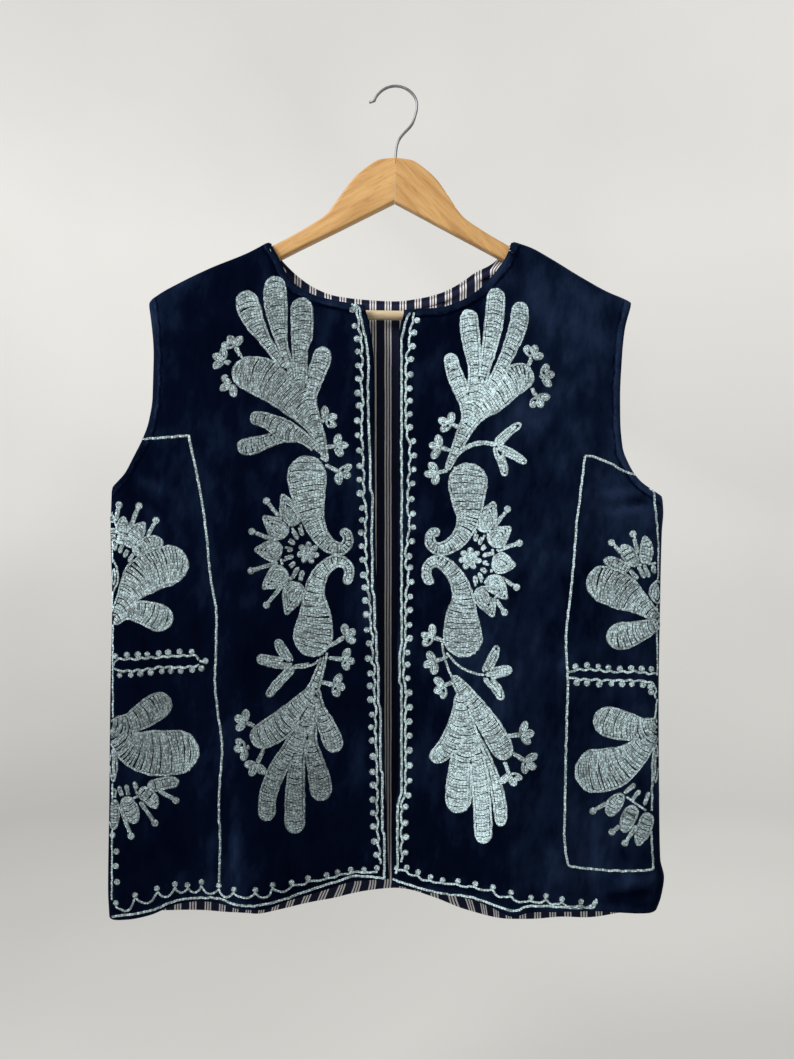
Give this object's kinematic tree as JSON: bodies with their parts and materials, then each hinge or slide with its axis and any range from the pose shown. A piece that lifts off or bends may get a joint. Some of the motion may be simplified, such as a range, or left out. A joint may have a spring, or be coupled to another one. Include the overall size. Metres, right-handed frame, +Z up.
{
  "type": "embroidered velvet waistcoat on a wooden hanger",
  "caption": "Sleeveless, collarless, open-front velvet waistcoat with a round neck and striped lining, hung on a flat wooden hanger with a wire hook.",
  "frame": {"origin": "the inside of the hook's crest, where a rod or wall hook carries the hanger", "axes": "+Z up towards the hook, fronts face -Y, the wearer's right side is at -X"},
  "size_m": [0.5548, 0.0497, 0.8415],
  "materials": {
    "velvet": "navy cotton velvet",
    "striped_lining": "navy cotton with white stripes",
    "thread": "pale sage chain stitch",
    "beech": "clear satin",
    "pale_dowel": "bare",
    "steel_wire": "polished wire"
  },
  "bodies": {
    "root": {"right_front": "velvet", "left_front": "velvet", "back": "velvet", "right_front_lining": "striped_lining", "left_front_lining": "striped_lining", "back_lining": "striped_lining", "hanger_arm_right": "beech", "hanger_arm_left": "beech", "trouser_bar": "pale_dowel", "hook_wire": "steel_wire"}
  },
  "joints": []
}
